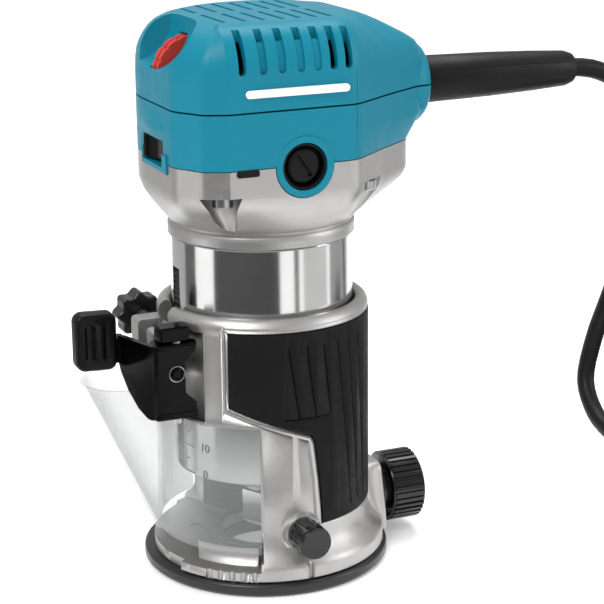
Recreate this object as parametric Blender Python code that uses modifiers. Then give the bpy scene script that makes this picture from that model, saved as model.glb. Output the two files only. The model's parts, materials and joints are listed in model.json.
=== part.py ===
"""Compact trim router: plunge-adjustable motor in a round base, with its lead and plug.

Lengths are in millimetres and become metres where a mesh is made. The spindle runs along Z,
the sole rests on z = 0, the lead leaves along +X and the speed dial looks along -X.
"""

import math

import bmesh
import bpy
from mathutils import Matrix, Vector

MM = 0.001
GAP = 0.3

# Overall box, used to put the origin under the middle of the tool.
X_REACH = (-69.0, 61.5)
Y_REACH = (-51.4, 45.0)

SOLE_RADIUS = 45.0
SOLE_THICK = 4.8
BIT_HOLE = 16.0
SOLE_SCREW_ANGLES = (34, 154, 274)

BASE_BOTTOM = SOLE_THICK + GAP
BASE_FLOOR = 9.0
BASE_TOP = 99.1
BASE_RADIUS = 37.6
BASE_BORE = 33.0
FLANGE_RADIUS = 43.5
SPLIT_HALF = 4.8
WINDOW_HALF_ANGLE = 66
WINDOW_TOP = 60.0

GRIP_INNER = 36.0
GRIP_OUTER = 37.8

BARREL_RADIUS = 32.5
BARREL_WALL = 3.0
BARREL_BOTTOM = 36.3
BARREL_TOP = 126.0
SPIGOT_RADIUS = 31.0

COLLAR_BOTTOM = 122.8
COLLAR_RADIUS = 33.3
SHELL_SEAM = 153.3
COVER_SEAM = 172.0
TOP = 199.9
WALL = 2.6
LEAD_HEIGHT = 171.6
BRUSH_HEIGHT = 152.6

PINION_AT = (-37.2, 88.0)
PINION_RADIUS = 4.5
CLAMP_BOLT_AT = (-39.5, 78.5)
LEVER_PIN_AT = (-39.5, -19.0)
DIAL_AT = (-26.5, -4.0, 181.0)
DIAL_RADIUS = 13.0
ROCKER_AT = (-38.4, -6.4, 156.0)
GUIDE_HEIGHT = 17.0
LUG_END = 43.6
THUMB_HEIGHT = 21.5

CORD_RADIUS = 3.5
BOSS_END = 61.5
GUARD_END = 125.0
COIL_AT = (192.0, -27.0)
COIL_RADII = (29.5, 50.5)
COIL_HEIGHT = 21.0
PLUG_AT = (225.0, -46.0, 33.6)


def clear_scene():
    for obj in list(bpy.data.objects):
        bpy.data.objects.remove(obj, do_unlink=True)


def collection(name):
    made = bpy.data.collections.new(name)
    bpy.context.scene.collection.children.link(made)
    return made


clear_scene()
PARTS = collection("trim_router")
CUTTERS = collection("cutters")


def empty(name, at=(0, 0, 0), parent=None):
    obj = bpy.data.objects.new(name, None)
    obj.location = Vector(at) * MM
    obj.parent = parent
    PARTS.objects.link(obj)
    return obj


ROOT = empty("router_origin", (-sum(X_REACH) / 2, -sum(Y_REACH) / 2, 0))


def paint(name, colour, roughness, metallic=0.0, transmission=0.0):
    mat = bpy.data.materials.new(name)
    mat.use_nodes = True
    shader = mat.node_tree.nodes["Principled BSDF"]
    shader.inputs["Base Color"].default_value = (*colour, 1)
    shader.inputs["Roughness"].default_value = roughness
    shader.inputs["Metallic"].default_value = metallic
    shader.inputs["Transmission Weight"].default_value = transmission
    return mat


SHELL = paint("shell_plastic", (0.02, 0.33, 0.44), 0.42)
CAST = paint("cast_aluminium", (0.62, 0.63, 0.64), 0.42, 1.0)
TURNED = paint("turned_steel", (0.70, 0.70, 0.71), 0.16, 1.0)
STEEL = paint("dark_steel", (0.32, 0.32, 0.33), 0.35, 1.0)
COPPER = paint("copper", (0.80, 0.42, 0.24), 0.3, 1.0)
BRASS = paint("brass", (0.80, 0.62, 0.32), 0.3, 1.0)
RUBBER = paint("grip_rubber", (0.018, 0.018, 0.02), 0.75)
BLACK = paint("black_plastic", (0.012, 0.012, 0.013), 0.45)
GLOSSY = paint("black_enamel", (0.008, 0.008, 0.009), 0.18)
CLEAR = paint("clear_plastic", (0.9, 0.92, 0.93), 0.08, 0.0, 0.9)
RED = paint("dial_red", (0.72, 0.10, 0.06), 0.45)
GREEN = paint("board_green", (0.03, 0.22, 0.08), 0.5)
CARBON = paint("carbon", (0.05, 0.05, 0.05), 0.6)


def finish(obj, mat=None, at=(0, 0, 0), turn=None, parent=ROOT, smooth=35):
    """Parents, places and colours an object. Without a material it becomes a cutter."""
    obj.location = Vector(at) * MM
    if turn:
        obj.rotation_euler = [math.radians(angle) for angle in turn]
    obj.parent = parent
    if mat:
        obj.data.materials.append(mat)
        PARTS.objects.link(obj)
        obj.data.shade_smooth()
        obj.data.set_sharp_from_angle(angle=math.radians(smooth))
    else:
        CUTTERS.objects.link(obj)
        obj.hide_render = True
        obj.display_type = "WIRE"
    return obj


def from_bmesh(name, bm, **place):
    bmesh.ops.recalc_face_normals(bm, faces=bm.faces)
    mesh = bpy.data.meshes.new(name)
    bm.to_mesh(mesh)
    bm.free()
    return finish(bpy.data.objects.new(name, mesh), **place)


def block(name, low, high, bevel=0.0, **place):
    bm = bmesh.new()
    bmesh.ops.create_cube(bm, size=1)
    low, high = Vector(low) * MM, Vector(high) * MM
    for vert in bm.verts:
        vert.co = (low + high) / 2 + Vector(c * s for c, s in zip(vert.co, high - low))
    if bevel:
        bmesh.ops.bevel(bm, geom=bm.edges, offset=bevel * MM, segments=1, affect="EDGES")
    return from_bmesh(name, bm, **place)


def rod(name, radius, low, high, sides=24, radius_high=None, **place):
    """A cylinder or cone along its own Z."""
    bm = bmesh.new()
    bmesh.ops.create_cone(
        bm,
        cap_ends=True,
        segments=sides,
        radius1=radius * MM,
        radius2=(radius if radius_high is None else radius_high) * MM,
        depth=(high - low) * MM,
        matrix=Matrix.Translation((0, 0, (low + high) / 2 * MM)),
    )
    return from_bmesh(name, bm, **place)


def turned(name, profile, steps=48, **place):
    """Spins a closed profile of (radius, height) points about its own Z with a Screw modifier."""
    area = sum(
        a[0] * b[1] - b[0] * a[1] for a, b in zip(profile, profile[1:] + profile[:1])
    )
    points = profile if area < 0 else profile[::-1]
    bm = bmesh.new()
    verts = [bm.verts.new((r * MM, 0, z * MM)) for r, z in points]
    for a, b in zip(verts, verts[1:] + verts[:1]):
        if a.co.x or b.co.x:
            bm.edges.new((a, b))
    mesh = bpy.data.meshes.new(name)
    bm.to_mesh(mesh)
    bm.free()
    obj = finish(bpy.data.objects.new(name, mesh), **place)
    screw = obj.modifiers.new("turn", "SCREW")
    screw.steps = screw.render_steps = steps
    screw.use_merge_vertices = True
    screw.merge_threshold = 1e-6
    screw.use_smooth_shade = True
    return obj


def ring(name, inner, outer, low, high, **place):
    return turned(name, [(inner, high), (outer, high), (outer, low), (inner, low)], **place)


def to_mesh(obj):
    """Makes a curve a closed mesh, so that Booleans can use it."""
    bpy.context.view_layer.update()
    graph = bpy.context.evaluated_depsgraph_get()
    mesh = bpy.data.meshes.new_from_object(obj.evaluated_get(graph))
    bm = bmesh.new()
    bm.from_mesh(mesh)
    bmesh.ops.remove_doubles(bm, verts=bm.verts, dist=1e-7)
    bm.to_mesh(mesh)
    bm.free()
    bpy.data.objects.remove(obj)
    return mesh


def plate(name, outline, low, high, **place):
    """Extrudes a flat outline of (x, y) points along its own Z."""
    curve = bpy.data.curves.new(name, "CURVE")
    curve.dimensions = "2D"
    curve.fill_mode = "BOTH"
    curve.extrude = (high - low) / 2 * MM
    spline = curve.splines.new("POLY")
    spline.points.add(len(outline) - 1)
    for point, (x, y) in zip(spline.points, outline):
        point.co = (x * MM, y * MM, 0, 1)
    spline.use_cyclic_u = True
    guide = bpy.data.objects.new(name + "_outline", curve)
    CUTTERS.objects.link(guide)
    mesh = to_mesh(guide)
    mesh.transform(Matrix.Translation((0, 0, (low + high) / 2 * MM)))
    return finish(bpy.data.objects.new(name, mesh), **place)


def lofted(name, sections, **place):
    """Joins rings of (x, y, z) points, each with the same count, and closes both ends."""
    bm = bmesh.new()
    rings = [[bm.verts.new(Vector(p) * MM) for p in section] for section in sections]
    for low, high in zip(rings, rings[1:]):
        for i, vert in enumerate(low):
            j = (i + 1) % len(low)
            bm.faces.new((vert, low[j], high[j], high[i]))
    bm.faces.new(rings[0][::-1])
    bm.faces.new(rings[-1])
    return from_bmesh(name, bm, **place)


def boolean(obj, operation, *others):
    for other in others:
        mod = obj.modifiers.new(operation.lower(), "BOOLEAN")
        mod.operation = operation
        mod.object = other
    return obj


def cut(obj, *others):
    return boolean(obj, "DIFFERENCE", *others)


def join(obj, *others):
    return boolean(obj, "UNION", *others)


def polar(radius, degrees, z=None):
    x = radius * math.cos(math.radians(degrees))
    y = radius * math.sin(math.radians(degrees))
    return (x, y) if z is None else (x, y, z)


def fillet(corners, steps=5):
    """Rounds a closed outline whose corners are (x, y, radius)."""
    outline = []
    for i, (x, y, radius) in enumerate(corners):
        here = Vector((x, y))
        before = (Vector(corners[i - 1][:2]) - here).normalized()
        after = (Vector(corners[(i + 1) % len(corners)][:2]) - here).normalized()
        half = before.angle(after) / 2
        reach = radius / math.tan(half)
        middle = here + (before + after).normalized() * radius / math.sin(half)
        start, end = here + before * reach - middle, here + after * reach - middle
        sweep = start.angle_signed(end)
        for k in range(steps + 1):
            outline.append(tuple(middle + Matrix.Rotation(-sweep * k / steps, 2) @ start))
    return outline


def reach_of(outline, degrees):
    """How far a ray from the spindle goes before it leaves the outline."""
    ray = Vector(polar(1, degrees))
    for a, b in zip(outline, outline[1:] + outline[:1]):
        edge = Vector(b) - Vector(a)
        det = ray.x * edge.y - ray.y * edge.x
        if abs(det) < 1e-9:
            continue
        far = (a[0] * edge.y - a[1] * edge.x) / det
        along = (a[0] * ray.y - a[1] * ray.x) / det
        if far > 0 and -1e-9 <= along <= 1 + 1e-9:
            return far
    raise ValueError("the outline doesn't go round the spindle")


def shell_outline(front, half, tail, tail_half):
    """The plan of the upper body: a rounded block that narrows towards its rear.

    Its far front corner is much rounder than the near one.
    """
    side = [
        (18, half - 1.6, 13),
        (18 + (tail - 18) * 0.5, half * 0.63, 12),
        (tail, tail_half, min(9, tail_half * 0.8)),
    ]
    near = [(-front, -half, 13)] + [(x, -y, r) for x, y, r in side]
    return fillet(near + side[::-1] + [(-front, half, 30)])


def shell_section(z, outline, inset=0.0, mix=1.0, sides=44):
    """A ring at height z between the round collar (mix 0) and the outline (mix 1)."""
    points = []
    for i in range(sides):
        angle = 360 * (i + 0.5) / sides
        radius = COLLAR_RADIUS * (1 - mix) + reach_of(outline, angle) * mix - inset
        points.append(polar(radius, angle, z))
    return points


# ---- Fixed base -------------------------------------------------------------------------

def make_sole():
    sole = turned(
        "sole_plate",
        [(BIT_HOLE, SOLE_THICK), (SOLE_RADIUS, SOLE_THICK), (SOLE_RADIUS, 1.4)]
        + [(SOLE_RADIUS - 1.4, 0), (BIT_HOLE, 0)],
        steps=40,
        mat=BLACK,
    )
    for i, angle in enumerate(SOLE_SCREW_ANGLES):
        x, y = polar(26, angle)
        cut(sole, rod(f"sole_bore_{i}", 2.4, -1, 6, 20, at=(x, y, 0)))
        cut(sole, rod(f"sole_sink_{i}", 4.4, -1, 2.4, 24, at=(x, y, 0)))
        screw = rod(f"sole_screw_{i + 1}", 3.9, 0.5, 2.1, 24, mat=STEEL, at=(x, y, 0))
        join(screw, rod(f"sole_shank_{i}", 1.9, 1.9, 8.0, 16, at=(x, y, 0)))


def band(name, columns, inner, outer, **place):
    """A curved slab on a cylinder. Each column is (angle from -Y towards +X, low, high)."""
    sections = []
    for angle, low, high in columns:
        turned_angle = angle - 90
        sections.append(
            [
                polar(inner, turned_angle, low),
                polar(outer, turned_angle, low),
                polar(outer, turned_angle, high),
                polar(inner, turned_angle, high),
            ]
        )
    return lofted(name, sections, **place)


def grip_columns(margin=0.0):
    """The grip's outline: a band round the upper base with a broad tail down its rear."""
    top, bottom, step = 94.3 + margin, 23.0 - margin, 4
    columns = []
    for i in range(9):
        angle = -40 + i * 44.0 / 8 - margin * 1.5
        columns.append((angle, 67.7 - 11.1 * i / 8 - margin, top))
    columns.append((10.7 - margin * 1.5, bottom, top))
    columns += [(angle, bottom, top) for angle in range(14, 72, step)]
    columns.append((72 + margin * 1.5, bottom, top))
    return columns


def make_base():
    base = turned(
        "base_casting",
        [
            (BASE_BORE + 1.5, BASE_TOP),
            (BASE_RADIUS - 1.5, BASE_TOP),
            (BASE_RADIUS, BASE_TOP - 1.5),
            (BASE_RADIUS, 13.5),
            (41.0, 11.6),
            (FLANGE_RADIUS, 9.0),
            (FLANGE_RADIUS, BASE_BOTTOM),
            (BIT_HOLE + 1, BASE_BOTTOM),
            (BIT_HOLE + 1, BASE_FLOOR),
            (BASE_BORE, BASE_FLOOR),
            (BASE_BORE, BASE_TOP - 1.5),
        ],
        steps=40,
        mat=CAST,
    )
    ears = block("ear_blank", (-45.5, -14, 70.4), (-33.6, 14, 93), 1.5)
    foot = -BASE_BOTTOM - 0.4
    lug_side = fillet([(foot, -14, 1), (-30, -9, 5), (-30, 9, 5), (foot, 14, 1)])
    lug = plate("guide_lug_blank", lug_side, 35, LUG_END, turn=(0, 90, 0))
    join(base, ears, lug)
    window = band(
        "window_cutter",
        [(a, BASE_FLOOR - 0.35, WINDOW_TOP) for a in range(-90 - WINDOW_HALF_ANGLE, -23, 6)],
        20,
        50,
    )
    cut(base, window)
    cut(base, block("split_cutter", (-50, -SPLIT_HALF, 40), (-28, SPLIT_HALF, 110)))
    cut(base, rod("heel_pocket", 9.2, 60, 93.5, 32, at=(*LEVER_PIN_AT, 0)))
    for side, name in ((1, "near"), (-1, "far")):
        pocket = band(f"grip_pocket_{name}", grip_columns(0.35), GRIP_INNER - GAP, 45)
        pocket.scale = (1, side, 1)
        if side < 0:
            mirror_mesh(pocket)
        cut(base, pocket)
    x, z = CLAMP_BOLT_AT
    cut(base, rod("clamp_bore", 2.6, -30, 30, 20, at=(x, 0, z), turn=(90, 0, 0)))
    x, z = PINION_AT
    cut(base, rod("pinion_bore", 2.8, -30, 0, 20, at=(x, 0, z), turn=(90, 0, 0)))
    for i, angle in enumerate(SOLE_SCREW_ANGLES):
        cut(base, rod(f"base_bore_{i}", 2.2, 4, 12, 16, at=(*polar(26, angle), 0)))
    cut(base, rod("thumb_bore", 2.4, 30, 42, 16, at=(-1.5, 0, THUMB_HEIGHT), turn=(90, 0, 0)))
    cut(base, rod("guide_bore", 3.4, 30, 48, 20, at=(0, 0, GUIDE_HEIGHT), turn=(0, 90, 0)))
    return base


def mirror_mesh(obj):
    """Mirrors a mesh across the XZ plane, keeping its faces pointing out."""
    obj.data.transform(Matrix.Diagonal((1, -1, 1, 1)))
    obj.data.flip_normals()
    obj.scale = (1, 1, 1)


def make_grips():
    band("grip_near", grip_columns(), GRIP_INNER, GRIP_OUTER, mat=RUBBER)
    far = band("grip_far", grip_columns(), GRIP_INNER, GRIP_OUTER, mat=RUBBER)
    mirror_mesh(far)


def make_nozzle():
    inner, outer = BASE_RADIUS + 0.7, BASE_RADIUS + 2.9
    cover = band(
        "dust_nozzle",
        [(a, 14.2, 61.5) for a in range(-90 - 66, -23, 6)],
        inner,
        outer,
        mat=CLEAR,
    )
    foot, mouth = Vector((-31, 5, 22)), Vector((-50, 12, 70))
    aim = (mouth - foot).to_track_quat("Z", "Y").to_euler()
    turn = [math.degrees(angle) for angle in aim]
    reach = (mouth - foot).length
    spout = rod("spout_blank", 12.5, 0, reach, 32, 14, at=foot, turn=turn)
    join(cover, spout)
    cut(cover, rod("spout_bore", 10.7, -8, reach + 4, 32, 12.4, at=foot, turn=turn))
    cut(cover, rod("spout_hollow", inner, 0, 90, 40))
    cut(cover, block("spout_level", (-80, -20, 69.5), (-20, 40, 90)))


def knob_outline(radius, lobes, depth, per_lobe=6):
    count = lobes * per_lobe
    outline = []
    for i in range(count):
        wave = depth * (math.cos(math.tau * i / per_lobe) - 1) / 2
        outline.append(polar(radius + wave, 360 * i / count))
    return outline


def make_screws():
    hinge = empty("thumb_screw_axis", (-1.5, -40.6, THUMB_HEIGHT), ROOT)
    place = dict(parent=hinge, turn=(90, 0, 0))
    thumb = plate("thumb_screw", knob_outline(5.9, 12, 0.6, 4), 0, 10.8, mat=BLACK, **place)
    join(thumb, rod("thumb_shank", 2.0, -6, 2, 16, **place))
    hinge = empty("guide_knob_axis", (LUG_END + GAP, 0, GUIDE_HEIGHT), ROOT)
    place = dict(parent=hinge, turn=(0, 90, 0))
    knob = plate("guide_knob", knob_outline(13.3, 14, 1.0, 2), 3.5, 16.3, mat=BLACK, **place)
    join(knob, rod("guide_hub", 11.5, 0, 4, 32, 9.5, **place))
    join(knob, rod("guide_shank", 3.0, -6, 2, 20, **place))


def make_clamp():
    x, y = LEVER_PIN_AT
    hinge = empty("clamp_lever_axis", (x, y, 0), ROOT)
    bend = [(8, -2.5), (7.6, 2.6), (6.4, 2.6), (6.4, -0.6), (-6.2, -0.6), (-6.2, 3)]
    bend += [(-12, 25.5), (-17, 26), (-17, 22.5), (-14.5, 20), (-9, 3), (-8.2, -1.6), (-7, -2.5)]
    lever = plate("clamp_lever", bend, 63, 90.5, mat=GLOSSY, parent=hinge)
    join(lever, block("lever_paddle", (-29.5, 20.5, 77), (-14, 28, 98), 2, parent=hinge))
    for low, name in ((63, "lower"), (88.8, "upper")):
        flange = fillet([(-8, -2.4, 1), (-8, 4, 2), (2, 6.5, 2), (7.6, 2, 2), (7.8, -2.4, 1)], 3)
        join(lever, plate(f"lever_flange_{name}", flange[::-1], low, low + 1.7, parent=hinge))
    slope = [(50, -14), (77, 20.2), (77, 50), (50, 50)]
    under = plate("lever_slope", slope, 2, 45, turn=(0, -90, 0), parent=hinge)
    cut(lever, under)
    cut(lever, rod("lever_pin_bore", 2.3, 55, 100, 20, parent=hinge))
    cut(lever, block("lever_fork", (2.3, -6, 73.2), (12, 6, 83.8), parent=hinge))
    bolt_gap = dict(at=(0, 0, CLAMP_BOLT_AT[1]), turn=(90, 0, 0), parent=hinge)
    cut(lever, rod("lever_bolt_gap", 4.6, -20, 10, 20, **bolt_gap))
    rod("lever_pin", 2.0, 61.5, 92.5, 20, mat=STEEL, at=(x, y, 0))


def make_depth_drive():
    x, z = PINION_AT
    hinge = empty("depth_knob_axis", (x, 0, z), ROOT)
    place = dict(parent=hinge, turn=(90, 0, 0))
    shaft = plate("pinion_shaft", knob_outline(PINION_RADIUS, 14, 1.2, 2), -4, 4, mat=STEEL, **place)
    join(shaft, rod("pinion_rod", 2.4, -26, 0, 20, **place))
    plate("depth_knob", knob_outline(9.0, 8, 1.6, 6), -35, -26.4, mat=BLACK, **place)
    bolt_x, bolt_z = CLAMP_BOLT_AT
    bolt = rod("clamp_bolt", 2.2, -16.5, 15.5, 20, mat=STEEL, at=(bolt_x, 0, bolt_z), turn=(90, 0, 0))
    join(bolt, rod("bolt_head", 4.0, 14.4, 16.4, 6, at=(bolt_x, 0, bolt_z), turn=(90, 0, 0)))
    nut = rod("clamp_nut", 4.4, -17.2, -14.4, 6, mat=STEEL, at=(bolt_x, 0, bolt_z), turn=(90, 0, 0))
    cut(nut, rod("nut_bore", 2.5, -20, -10, 20, at=(bolt_x, 0, bolt_z), turn=(90, 0, 0)))


# ---- Motor unit -------------------------------------------------------------------------

def make_barrel():
    inner = BARREL_RADIUS - BARREL_WALL
    barrel = turned(
        "barrel",
        [
            (28.3, BARREL_TOP),
            (SPIGOT_RADIUS, BARREL_TOP),
            (SPIGOT_RADIUS, COLLAR_BOTTOM - GAP),
            (BARREL_RADIUS, COLLAR_BOTTOM - GAP),
            (BARREL_RADIUS, BARREL_BOTTOM + 1),
            (BARREL_RADIUS - 1, BARREL_BOTTOM),
            (8.2, BARREL_BOTTOM),
            (8.2, 38.0),
            (11.3, 38.0),
            (11.3, 45.5),
            (inner, 45.5),
            (inner, 121.0),
            (28.3, 122.0),
        ],
        steps=40,
        mat=TURNED,
    )
    cut(barrel, block("rack_slot", (-40, -3.2, 38.2), (-30.9, 3.2, 112)))
    pitch = math.tau * PINION_RADIUS / 14
    outline = [(38.5, -31.2), (111.7, -31.2)]
    teeth = int((111.7 - 38.5) / pitch)
    for i in range(teeth, 0, -1):
        root = 38.5 + i * pitch
        outline += [(root, -32.4), (root - pitch * 0.5, -31.9)]
    outline += [(38.5, -32.4)]
    plate("rack_strip", outline, -2.9, 2.9, mat=BLACK, turn=(90, 0, 0)).data.transform(
        Matrix(((0, 1, 0, 0), (1, 0, 0, 0), (0, 0, -1, 0), (0, 0, 0, 1)))
    )


CASTING_PLAN = shell_outline(41.4, 41.3, 52, 13)
SHELL_PLAN = shell_outline(41.4, 41.3, 57.5, 13.5)


def boss(name, **place):
    """The rounded boss that the lead leaves through, along +X."""
    profile = [(0, BOSS_END), (10.8, BOSS_END), (14.2, BOSS_END - 1.6), (15.9, BOSS_END - 5.5)]
    profile += [(16.2, 45), (16.2, 30), (0, 30)]
    return turned(name, profile, 28, at=(0, 0, LEAD_HEIGHT), turn=(0, 90, 0), **place)


def guard_bore(name):
    place = dict(at=(0, 0, LEAD_HEIGHT), turn=(0, 90, 0))
    return rod(f"guard_bore_{name}", 7.9, BOSS_END - 11, BOSS_END + 8, 32, **place)


def brush_cutters(obj, radius, start, name):
    for side, where in ((1, "near"), (-1, "far")):
        place = dict(at=(0, 0, BRUSH_HEIGHT), turn=(90 * side, 0, 0))
        cut(obj, rod(f"{name}_{where}", radius, start, 50, 32, **place))


SCREW_SPOTS = [(-27.5, -35), (-22, 33), (27, -30), (27, 30)]


def make_motor_casting():
    mixes = [(COLLAR_BOTTOM, 0), (127, 0.08), (131.5, 0.33), (136, 0.66), (140.5, 0.95), (145, 1)]
    sections = [shell_section(z, CASTING_PLAN, mix=mix) for z, mix in mixes]
    sections.append(shell_section(SHELL_SEAM - GAP, CASTING_PLAN))
    casting = lofted("motor_casting", sections, mat=CAST)
    cut(casting, rod("collar_bore", SPIGOT_RADIUS + GAP, 120, BARREL_TOP + GAP, 40))
    cut(casting, rod("casting_cavity", 29.5, 125, 160, 40))
    brush_cutters(casting, 10.7, 26, "casting_brush_gap")
    cut(casting, block("tongue_gap", (-45, -20.9, 149.6), (-29, 5.0, 156)))
    for i, (x, y) in enumerate(SCREW_SPOTS):
        out = Vector((x, y, 0)).normalized() * 6
        cut(casting, rod(f"pocket_{i}", 4.6, 120, 144, 24, at=(x, y, 0)))
        cut(casting, rod(f"pocket_out_{i}", 5.0, 110, 143.9, 24, at=Vector((x, y, 0)) + out))
        cut(casting, rod(f"screw_bore_{i}", 2.4, 140, 160, 16, at=(x, y, 0)))
        screw = rod(f"casting_screw_{i + 1}", 3.6, 140.4, 143.7, 20, mat=STEEL, at=(x, y, 0))
        join(screw, rod(f"screw_shank_{i}", 2.0, 143, 165, 16, at=(x, y, 0)))


def make_housing():
    sections = [shell_section(SHELL_SEAM, CASTING_PLAN)]
    sections += [shell_section(z, SHELL_PLAN) for z in (162, COVER_SEAM)]
    housing = lofted("motor_housing", sections, mat=SHELL)
    inner = [shell_section(z, CASTING_PLAN, WALL) for z in (150, 160)]
    inner += [shell_section(z, SHELL_PLAN, WALL + 0.2) for z in (162, 180)]
    join(housing, boss("boss_lower"))
    join(housing, block("rocker_tongue", (-42, -20.5, 150), (-36.8, 4.6, 156), 0.8))
    for side, where in ((1, "near"), (-1, "far")):
        place = dict(at=(0, 0, BRUSH_HEIGHT), turn=(90 * side, 0, 0))
        join(housing, rod(f"brush_ring_{where}", 10.3, 34, 40.6, 32, **place))
    cut(housing, lofted("housing_cavity", inner))
    for i, (x, y) in enumerate(SCREW_SPOTS):
        join(housing, rod(f"screw_post_{i}", 4.4, SHELL_SEAM, 168, 20, at=(x, y, 0)))
        cut(housing, rod(f"post_bore_{i}", 2.3, 150, 166, 16, at=(x, y, 0)))
    cut(housing, block("housing_trim", (-60, -60, COVER_SEAM), (80, 60, 200)))
    brush_cutters(housing, 8.1, 30, "cap_gap")
    cut(housing, block("rocker_gap", (-50, -16.4, 151.5), (-30, 3.6, 160.5)))
    hollow = block("boss_bore_lower", (20, -7, 163), (BOSS_END - 5, 7, 190))
    cut(housing, hollow, guard_bore("lower"))


def make_cover():
    levels = [
        (COVER_SEAM + GAP, 41.4, 41.3, 57.5),
        (186, 41.2, 41.1, 57),
        (191, 40.2, 40.3, 52),
        (195.5, 38.6, 38.4, 41),
        (198.8, 35.8, 35.4, 33),
        (TOP, 32.5, 32.0, 29.5),
    ]
    outer = [shell_section(z, shell_outline(f, h, t, 13.5)) for z, f, h, t in levels]
    cover = lofted("top_cover", outer, mat=SHELL)
    join(cover, boss("boss_upper"))
    cut(cover, block("cover_trim", (-60, -60, 150), (80, 60, COVER_SEAM + GAP)))
    inner = [shell_section(z - WALL, shell_outline(f, h, t, 13.5), WALL) for z, f, h, t in levels]
    inner[0] = shell_section(160, SHELL_PLAN, WALL)
    cut(cover, lofted("cover_cavity", inner))
    scoop = rod("dial_scoop", 15.0, -14, 14, 32, at=(-44, DIAL_AT[1], 199), turn=(90, 0, 0))
    cut(cover, scoop)
    cut(cover, rod("dial_slot", DIAL_RADIUS + 0.7, -3.6, 3.6, 32, at=DIAL_AT, turn=(90, 0, 0)))
    for x in (-21.8, -14.4, -7.6, -0.9, 5.2, 11.0, 16.5):
        for side in (1, -1):
            y = sorted((side * 50, side * 26))
            cut(cover, block(f"vent_{x:.0f}_{side}", (x - 1.3, y[0], 184.5), (x + 1.3, y[1], 210)))
    hollow = block("boss_bore_upper", (20, -7, 160), (BOSS_END - 5, 7, 180))
    cut(cover, hollow, guard_bore("upper"))


def make_controls():
    hinge = empty("speed_dial_axis", DIAL_AT, ROOT)
    place = dict(parent=hinge, turn=(90, 0, 0))
    plate("speed_dial", knob_outline(DIAL_RADIUS, 16, 0.8, 4), -3, 3, mat=RED, **place)
    x, y, z = ROCKER_AT
    block("switch_body", (-34.2, y - 9.6, z - 4.2), (-29.6, y + 9.6, z + 8), mat=BLACK)
    hinge = empty("rocker_axis", ROCKER_AT, ROOT)
    outline = [(-2.6, -9.2), (-1.6, 0), (-4.2, 9.0), (1.2, 9.0), (2.2, 0), (1.2, -9.2)]
    plate("rocker", outline[::-1], -4, 4, mat=BLACK, parent=hinge)
    block("controller_board", (-14, -24, 175), (30, 24, 176.6), mat=GREEN)


def make_brush_gear():
    for side, where in ((1, "near"), (-1, "far")):
        place = dict(at=(0, 0, BRUSH_HEIGHT), turn=(90 * side, 0, 0))
        cap = rod(f"brush_cap_{where}", 5.8, 36.6, 38.6, 28, mat=BLACK, **place)
        turn = (90 * side, 30, 0)
        slot = block(f"cap_slot_{where}", (-5, -0.6, 37.7), (5, 0.6, 40), at=place["at"], turn=turn)
        cut(cap, slot)
        ring(f"brush_holder_{where}", 5.0, 6.6, 19, 36.2, steps=24, mat=BRASS, **place)
        block(f"carbon_brush_{where}", (-3, -2, 12.1), (3, 2, 24), mat=CARBON, **place)
        points = []
        for i in range(41):
            points.append((*polar(2.6, 45 * i), 24.8 + 11.0 * i / 40))
        wire(f"brush_spring_{where}", points, 0.35, 0, mat=STEEL, **place)


def wire(name, points, radius, resolution=2, **place):
    curve = bpy.data.curves.new(name, "CURVE")
    curve.dimensions = "3D"
    curve.bevel_depth = radius * MM
    curve.bevel_resolution = resolution
    curve.use_fill_caps = True
    spline = curve.splines.new("POLY")
    spline.points.add(len(points) - 1)
    for point, co in zip(spline.points, points):
        point.co = (*(Vector(co) * MM), 1)
    obj = bpy.data.objects.new(name, curve)
    obj.location = Vector(place.get("at", (0, 0, 0))) * MM
    obj.rotation_euler = [math.radians(a) for a in place.get("turn", (0, 0, 0))]
    obj.parent = ROOT
    curve.materials.append(place["mat"])
    PARTS.objects.link(obj)
    return obj


def make_motor_core():
    spin = empty("spindle_axis", (0, 0, 0), ROOT)
    ring("field_core", 19.2, 28.9, 72, 108, steps=40, mat=STEEL)
    ring("field_coil_lower", 20.5, 27.5, 63, 71.7, steps=24, mat=COPPER)
    ring("field_coil_upper", 20.5, 27.5, 108.3, 117, steps=24, mat=COPPER)
    ring("baffle", 22, 29.1, 58.6, 60.2, steps=40, mat=BLACK)
    ring("lower_bearing", 5.3, 11.0, 38.3, 45.3, steps=24, mat=STEEL)
    ring("upper_bearing", 4.3, 9.5, 163, 169, steps=24, mat=STEEL)
    turned(
        "armature_shaft",
        [(0, 168.5), (4.0, 168.5), (4.0, 46), (5.0, 46), (5.0, 37.5)]
        + [(7.4, 37.5), (7.4, 25.4), (0, 25.4)],
        steps=24,
        mat=STEEL,
        parent=spin,
    )
    ring("armature_core", 4.3, 17.6, 72, 108, steps=24, mat=STEEL, parent=spin)
    ring("winding_lower", 4.3, 15.0, 64, 71.7, steps=24, mat=COPPER, parent=spin)
    ring("winding_upper", 4.3, 15.0, 108.3, 117, steps=24, mat=COPPER, parent=spin)
    ring("commutator", 4.3, 11.7, 146, 161, steps=24, mat=COPPER, parent=spin)
    blades = knob_outline(27, 12, 9.0, 4)
    fan = plate("cooling_fan", blades, 47, 56, mat=BLACK, parent=spin)
    cut(fan, rod("fan_bore", 4.3, 40, 60, 24, parent=spin))
    nut = turned(
        "collet_nut",
        [(3.4, 11.6), (7.2, 11.6), (9.0, 13.4), (9.0, 25.0), (5.9, 25.0), (5.9, 15.0)],
        steps=6,
        mat=TURNED,
        parent=spin,
    )
    nut.modifiers["turn"].use_smooth_shade = False
    ring("collet", 3.2, 4.8, 15.4, 24.6, steps=24, mat=TURNED, parent=spin)


# ---- Lead -------------------------------------------------------------------------------

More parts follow.
